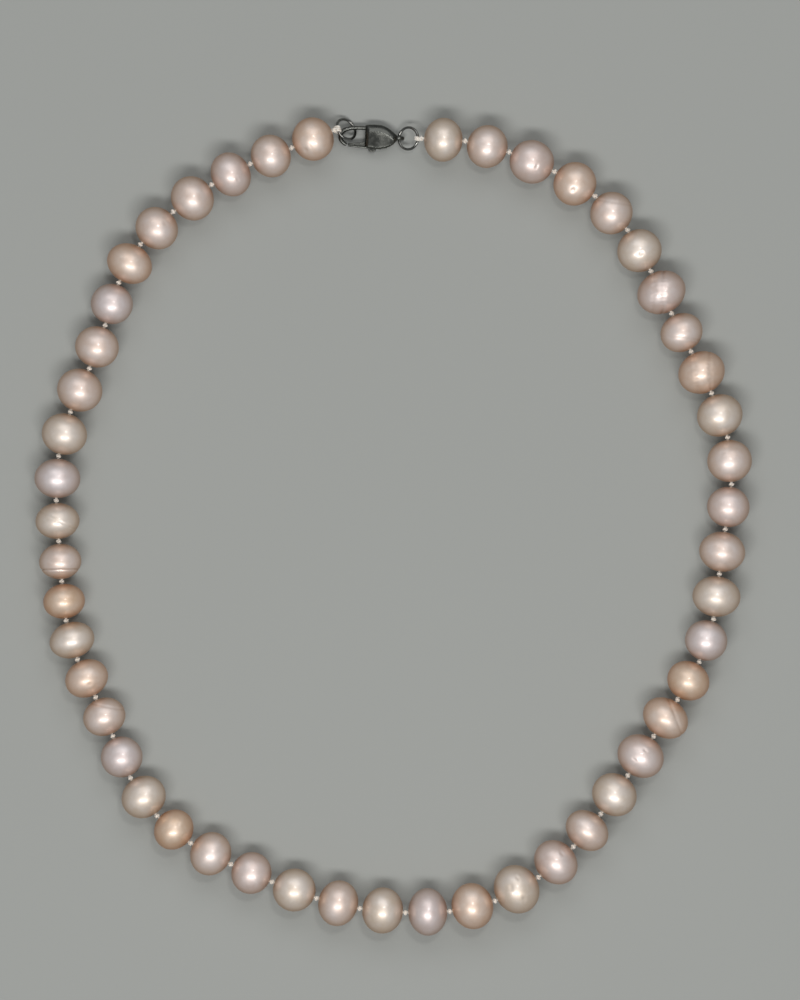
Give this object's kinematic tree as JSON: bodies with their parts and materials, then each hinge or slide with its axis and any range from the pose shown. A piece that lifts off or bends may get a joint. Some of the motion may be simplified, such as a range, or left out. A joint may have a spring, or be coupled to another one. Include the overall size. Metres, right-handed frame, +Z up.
{
  "type": "pearl necklace",
  "caption": "Strand of drilled pearls with a silk knot between each, closed by jump rings and a lobster claw clasp, lying as a loop.",
  "frame": {"origin": "centre of the loop's outline, on the surface that the necklace lies on", "axes": "+Z up from that surface, +Y across the loop towards the clasp, +X towards the tail ring's side"},
  "size_m": [0.1437, 0.1638, 0.0101],
  "materials": {
    "pearl_champagne": "nacre, glossy",
    "pearl_peach": "nacre, glossy",
    "pearl_pink": "nacre, glossy",
    "pearl_cream": "nacre, glossy",
    "silk": "twisted silk",
    "clasp_metal": "dark rhodium plate",
    "ring_metal": "dark rhodium plate, worn bright",
    "spring_steel": "bright wire"
  },
  "bodies": {
    "pearl_25": {"pearl_25": "pearl_cream", "silk_strand": "silk"},
    "pearl_24": {"pearl_24": "pearl_champagne"},
    "pearl_23": {"pearl_23": "pearl_champagne"},
    "pearl_22": {"pearl_22": "pearl_pink"},
    "pearl_21": {"pearl_21": "pearl_champagne"},
    "pearl_20": {"pearl_20": "pearl_peach"},
    "pearl_19": {"pearl_19": "pearl_cream"},
    "pearl_18": {"pearl_18": "pearl_pink"},
    "pearl_17": {"pearl_17": "pearl_champagne"},
    "pearl_16": {"pearl_16": "pearl_peach"},
    "pearl_15": {"pearl_15": "pearl_cream"},
    "pearl_14": {"pearl_14": "pearl_peach"},
    "pearl_13": {"pearl_13": "pearl_champagne"},
    "pearl_12": {"pearl_12": "pearl_cream"},
    "pearl_11": {"pearl_11": "pearl_pink"},
    "pearl_10": {"pearl_10": "pearl_cream"},
    "pearl_09": {"pearl_09": "pearl_champagne"},
    "pearl_08": {"pearl_08": "pearl_champagne"},
    "pearl_07": {"pearl_07": "pearl_pink"},
    "pearl_06": {"pearl_06": "pearl_peach"},
    "pearl_05": {"pearl_05": "pearl_champagne"},
    "pearl_04": {"pearl_04": "pearl_champagne"},
    "pearl_03": {"pearl_03": "pearl_pink"},
    "pearl_02": {"pearl_02": "pearl_champagne"},
    "pearl_01": {"pearl_01": "pearl_peach"},
    "pearl_26": {"pearl_26": "pearl_pink"},
    "pearl_27": {"pearl_27": "pearl_peach"},
    "pearl_28": {"pearl_28": "pearl_cream"},
    "pearl_29": {"pearl_29": "pearl_champagne"},
    "pearl_30": {"pearl_30": "pearl_champagne"},
    "pearl_31": {"pearl_31": "pearl_cream"},
    "pearl_32": {"pearl_32": "pearl_pink"},
    "pearl_33": {"pearl_33": "pearl_champagne"},
    "pearl_34": {"pearl_34": "pearl_peach"},
    "pearl_35": {"pearl_35": "pearl_pink"},
    "pearl_36": {"pearl_36": "pearl_cream"},
    "pearl_37": {"pearl_37": "pearl_champagne"},
    "pearl_38": {"pearl_38": "pearl_pink"},
    "pearl_39": {"pearl_39": "pearl_champagne"},
    "pearl_40": {"pearl_40": "pearl_cream"},
    "pearl_41": {"pearl_41": "pearl_peach"},
    "pearl_42": {"pearl_42": "pearl_champagne"},
    "pearl_43": {"pearl_43": "pearl_pink"},
    "pearl_44": {"pearl_44": "pearl_cream"},
    "pearl_45": {"pearl_45": "pearl_champagne"},
    "pearl_46": {"pearl_46": "pearl_peach"},
    "pearl_47": {"pearl_47": "pearl_pink"},
    "pearl_48": {"pearl_48": "pearl_champagne"},
    "pearl_49": {"pearl_49": "pearl_cream"},
    "tail_ring": {"tail_ring": "ring_metal"},
    "clasp_body": {"clasp_body": "clasp_metal", "lever_pin": "clasp_metal", "lever_spring": "spring_steel"},
    "clasp_lever": {"clasp_lever": "clasp_metal"},
    "hooked_ring": {"hooked_ring": "ring_metal"}
  },
  "joints": [
    {"name": "clasp_gate", "type": "hinge", "parent": "clasp_body", "child": "clasp_lever", "pos_m": [-0.00281, 0.07746, 0.0015], "axis": [0, 0, -1], "range_deg": [0, 5], "stiffness_Nm_per_rad": 0.02, "springref_deg": -8.59, "deforming": ["lever_spring"]},
    {"name": "clasp_swing", "type": "hinge", "parent": "tail_ring", "child": "clasp_body", "pos_m": [0.00079, 0.07749, 0.0015], "axis": [0.0471, 0.9989, 0], "range_deg": [0, 60]},
    {"name": "hooked_ring_turn", "type": "hinge", "parent": "clasp_body", "child": "hooked_ring", "pos_m": [-0.00979, 0.07929, 0.00183], "axis": [0.5519, 0.4046, 0.7291], "continuous": true},
    {"name": "tail_ring_swing", "type": "hinge", "parent": "pearl_49", "child": "tail_ring", "pos_m": [0.00456, 0.07731, 0.00377], "axis": [0, 0, -1], "range_deg": [0, 30], "deforming": ["silk_strand"]},
    {"name": "strand_lift_24", "type": "hinge", "parent": "pearl_25", "child": "pearl_24", "pos_m": [-0.00704, -0.07665, 0.0047], "axis": [0.1588, 0.9873, 0], "range_deg": [0, 30], "deforming": ["silk_strand"]},
    {"name": "strand_bend_23", "type": "hinge", "parent": "pearl_24", "child": "pearl_23", "pos_m": [-0.01568, -0.07463, 0.0047], "axis": [0, 0, 1], "range_deg": [0, 25], "deforming": ["silk_strand"]},
    {"name": "strand_lift_22", "type": "hinge", "parent": "pearl_23", "child": "pearl_22", "pos_m": [-0.02458, -0.07138, 0.0044], "axis": [-0.367, -0.9302, 0], "range_deg": [0, 30], "deforming": ["silk_strand"]},
    {"name": "strand_bend_21", "type": "hinge", "parent": "pearl_22", "child": "pearl_21", "pos_m": [-0.03285, -0.06785, 0.0045], "axis": [0, 0, 1], "range_deg": [0, 25], "deforming": ["silk_strand"]},
    {"name": "strand_lift_20", "type": "hinge", "parent": "pearl_21", "child": "pearl_20", "pos_m": [-0.04088, -0.06363, 0.0045], "axis": [-0.5489, -0.8359, 0], "range_deg": [0, 30], "deforming": ["silk_strand"]},
    {"name": "strand_bend_19", "type": "hinge", "parent": "pearl_20", "child": "pearl_19", "pos_m": [-0.0476, -0.05817, 0.00465], "axis": [0, 0, 1], "range_deg": [0, 25], "deforming": ["silk_strand"]},
    {"name": "strand_lift_18", "type": "hinge", "parent": "pearl_19", "child": "pearl_18", "pos_m": [-0.0529, -0.05059, 0.00465], "axis": [0.8749, 0.4842, 0], "range_deg": [0, 30], "deforming": ["silk_strand"]},
    {"name": "strand_bend_17", "type": "hinge", "parent": "pearl_18", "child": "pearl_17", "pos_m": [-0.05643, -0.04222, 0.0044], "axis": [0, 0, 1], "range_deg": [0, 25], "deforming": ["silk_strand"]},
    {"name": "strand_lift_16", "type": "hinge", "parent": "pearl_17", "child": "pearl_16", "pos_m": [-0.05986, -0.03447, 0.0045], "axis": [0.9087, 0.4175, 0], "range_deg": [0, 30], "deforming": ["silk_strand"]},
    {"name": "strand_bend_15", "type": "hinge", "parent": "pearl_16", "child": "pearl_15", "pos_m": [-0.06347, -0.0269, 0.00465], "axis": [0, 0, 1], "range_deg": [0, 25], "deforming": ["silk_strand"]},
    {"name": "strand_lift_14", "type": "hinge", "parent": "pearl_15", "child": "pearl_14", "pos_m": [-0.06574, -0.01916, 0.00465], "axis": [-0.98, -0.1992, 0], "range_deg": [0, 30], "deforming": ["silk_strand"]},
    {"name": "strand_bend_13", "type": "hinge", "parent": "pearl_14", "child": "pearl_13", "pos_m": [-0.06663, -0.01133, 0.0043], "axis": [0, 0, 1], "range_deg": [0, 25], "deforming": ["silk_strand"]},
    {"name": "strand_lift_12", "type": "hinge", "parent": "pearl_13", "child": "pearl_12", "pos_m": [-0.06725, -0.00327, 0.0045], "axis": [-0.9977, -0.0675, 0], "range_deg": [0, 30], "deforming": ["silk_strand"]},
    {"name": "strand_bend_11", "type": "hinge", "parent": "pearl_12", "child": "pearl_11", "pos_m": [-0.06773, 0.0049, 0.0047], "axis": [0, 0, 1], "range_deg": [0, 25], "deforming": ["silk_strand"]},
    {"name": "strand_lift_10", "type": "hinge", "parent": "pearl_11", "child": "pearl_10", "pos_m": [-0.06728, 0.01376, 0.0047], "axis": [0.9879, -0.1553, 0], "range_deg": [0, 30], "deforming": ["silk_strand"]},
    {"name": "strand_bend_09", "type": "hinge", "parent": "pearl_10", "child": "pearl_09", "pos_m": [-0.06494, 0.02262, 0.00465], "axis": [0, 0, 1], "range_deg": [0, 25], "deforming": ["silk_strand"]},
    {"name": "strand_lift_08", "type": "hinge", "parent": "pearl_09", "child": "pearl_08", "pos_m": [-0.06116, 0.03131, 0.00465], "axis": [0.9284, -0.3716, 0], "range_deg": [0, 30], "deforming": ["silk_strand"]},
    {"name": "strand_bend_07", "type": "hinge", "parent": "pearl_08", "child": "pearl_07", "pos_m": [-0.05801, 0.03993, 0.0045], "axis": [0, 0, 1], "range_deg": [0, 25], "deforming": ["silk_strand"]},
    {"name": "strand_lift_06", "type": "hinge", "parent": "pearl_07", "child": "pearl_06", "pos_m": [-0.05524, 0.04848, 0.00475], "axis": [-0.9161, 0.4009, 0], "range_deg": [0, 30], "deforming": ["silk_strand"]},
    {"name": "strand_bend_05", "type": "hinge", "parent": "pearl_06", "child": "pearl_05", "pos_m": [-0.05094, 0.05609, 0.00475], "axis": [0, 0, 1], "range_deg": [0, 25], "deforming": ["silk_strand"]},
    {"name": "strand_lift_04", "type": "hinge", "parent": "pearl_05", "child": "pearl_04", "pos_m": [-0.04437, 0.06263, 0.00465], "axis": [-0.6428, 0.766, 0], "range_deg": [0, 30], "deforming": ["silk_strand"]},
    {"name": "strand_bend_03", "type": "hinge", "parent": "pearl_04", "child": "pearl_03", "pos_m": [-0.03671, 0.06804, 0.00465], "axis": [0, 0, 1], "range_deg": [0, 25], "deforming": ["silk_strand"]},
    {"name": "strand_lift_02", "type": "hinge", "parent": "pearl_03", "child": "pearl_02", "pos_m": [-0.02897, 0.07219, 0.0046], "axis": [0.4185, -0.9082, 0], "range_deg": [0, 30], "deforming": ["silk_strand"]},
    {"name": "strand_bend_01", "type": "hinge", "parent": "pearl_02", "child": "pearl_01", "pos_m": [-0.0207, 0.07541, 0.00445], "axis": [0, 0, 1], "range_deg": [0, 25], "deforming": ["silk_strand"]},
    {"name": "strand_bend_25", "type": "hinge", "parent": "pearl_25", "child": "pearl_26", "pos_m": [0.0021, -0.07749, 0.00485], "axis": [0, 0, -1], "range_deg": [0, 25], "deforming": ["silk_strand"]},
    {"name": "strand_lift_26", "type": "hinge", "parent": "pearl_26", "child": "pearl_27", "pos_m": [0.01098, -0.07724, 0.00485], "axis": [0.1294, -0.9916, 0], "range_deg": [0, 30], "deforming": ["silk_strand"]},
    {"name": "strand_bend_27", "type": "hinge", "parent": "pearl_27", "child": "pearl_28", "pos_m": [0.01999, -0.07515, 0.00505], "axis": [0, 0, -1], "range_deg": [0, 25], "deforming": ["silk_strand"]},
    {"name": "strand_lift_28", "type": "hinge", "parent": "pearl_28", "child": "pearl_29", "pos_m": [0.02866, -0.07046, 0.00505], "axis": [-0.5673, 0.8235, 0], "range_deg": [0, 30], "deforming": ["silk_strand"]},
    {"name": "strand_bend_29", "type": "hinge", "parent": "pearl_29", "child": "pearl_30", "pos_m": [0.03565, -0.06437, 0.0048], "axis": [0, 0, -1], "range_deg": [0, 25], "deforming": ["silk_strand"]},
    {"name": "strand_lift_30", "type": "hinge", "parent": "pearl_30", "child": "pearl_31", "pos_m": [0.04116, -0.05779, 0.0047], "axis": [-0.7942, 0.6076, 0], "range_deg": [0, 30], "deforming": ["silk_strand"]},
    {"name": "strand_bend_31", "type": "hinge", "parent": "pearl_31", "child": "pearl_32", "pos_m": [0.04655, -0.05012, 0.0049], "axis": [0, 0, -1], "range_deg": [0, 25], "deforming": ["silk_strand"]},
    {"name": "strand_lift_32", "type": "hinge", "parent": "pearl_32", "child": "pearl_33", "pos_m": [0.05169, -0.04226, 0.0049], "axis": [0.8374, -0.5466, 0], "range_deg": [0, 30], "deforming": ["silk_strand"]},
    {"name": "strand_bend_33", "type": "hinge", "parent": "pearl_33", "child": "pearl_34", "pos_m": [0.05648, -0.0349, 0.00485], "axis": [0, 0, -1], "range_deg": [0, 25], "deforming": ["silk_strand"]},
    {"name": "strand_lift_34", "type": "hinge", "parent": "pearl_34", "child": "pearl_35", "pos_m": [0.06082, -0.02738, 0.0044], "axis": [0.9132, -0.4074, 0], "range_deg": [0, 30], "deforming": ["silk_strand"]},
    {"name": "strand_bend_35", "type": "hinge", "parent": "pearl_35", "child": "pearl_36", "pos_m": [0.06367, -0.01879, 0.0049], "axis": [0, 0, -1], "range_deg": [0, 25], "deforming": ["silk_strand"]},
    {"name": "strand_lift_36", "type": "hinge", "parent": "pearl_36", "child": "pearl_37", "pos_m": [0.06485, -0.00979, 0.0049], "axis": [-0.9913, 0.1316, 0], "range_deg": [0, 30], "deforming": ["silk_strand"]},
    {"name": "strand_bend_37", "type": "hinge", "parent": "pearl_37", "child": "pearl_38", "pos_m": [0.06605, -0.00089, 0.0047], "axis": [0, 0, -1], "range_deg": [0, 25], "deforming": ["silk_strand"]},
    {"name": "strand_lift_38", "type": "hinge", "parent": "pearl_38", "child": "pearl_39", "pos_m": [0.0673, 0.00811, 0.00455], "axis": [-0.9996, 0.0266, 0], "range_deg": [0, 30], "deforming": ["silk_strand"]},
    {"name": "strand_bend_39", "type": "hinge", "parent": "pearl_39", "child": "pearl_40", "pos_m": [0.06654, 0.01752, 0.0047], "axis": [0, 0, -1], "range_deg": [0, 25], "deforming": ["silk_strand"]},
    {"name": "strand_lift_40", "type": "hinge", "parent": "pearl_40", "child": "pearl_41", "pos_m": [0.06334, 0.02633, 0.00485], "axis": [0.9204, 0.391, 0], "range_deg": [0, 30], "deforming": ["silk_strand"]},
    {"name": "strand_bend_41", "type": "hinge", "parent": "pearl_41", "child": "pearl_42", "pos_m": [0.05925, 0.03466, 0.00485], "axis": [0, 0, -1], "range_deg": [0, 25], "deforming": ["silk_strand"]},
    {"name": "strand_lift_42", "type": "hinge", "parent": "pearl_42", "child": "pearl_43", "pos_m": [0.05534, 0.0423, 0.00505], "axis": [0.8939, 0.4483, 0], "range_deg": [0, 30], "deforming": ["silk_strand"]},
    {"name": "strand_bend_43", "type": "hinge", "parent": "pearl_43", "child": "pearl_44", "pos_m": [0.0512, 0.05072, 0.00505], "axis": [0, 0, -1], "range_deg": [0, 25], "deforming": ["silk_strand"]},
    {"name": "strand_lift_44", "type": "hinge", "parent": "pearl_44", "child": "pearl_45", "pos_m": [0.04653, 0.05897, 0.0046], "axis": [-0.8031, -0.5959, 0], "range_deg": [0, 30], "deforming": ["silk_strand"]},
    {"name": "strand_bend_45", "type": "hinge", "parent": "pearl_45", "child": "pearl_46", "pos_m": [0.04001, 0.0658, 0.0045], "axis": [0, 0, -1], "range_deg": [0, 25], "deforming": ["silk_strand"]},
    {"name": "strand_lift_46", "type": "hinge", "parent": "pearl_46", "child": "pearl_47", "pos_m": [0.0319, 0.07067, 0.0045], "axis": [-0.4559, -0.89, 0], "range_deg": [0, 30], "deforming": ["silk_strand"]},
    {"name": "strand_bend_47", "type": "hinge", "parent": "pearl_47", "child": "pearl_48", "pos_m": [0.02283, 0.0746, 0.00445], "axis": [0, 0, -1], "range_deg": [0, 25], "deforming": ["silk_strand"]},
    {"name": "strand_lift_48", "type": "hinge", "parent": "pearl_48", "child": "pearl_49", "pos_m": [0.01404, 0.0768, 0.0045], "axis": [0.1516, 0.9884, 0], "range_deg": [0, 30], "deforming": ["silk_strand"]}
  ]
}
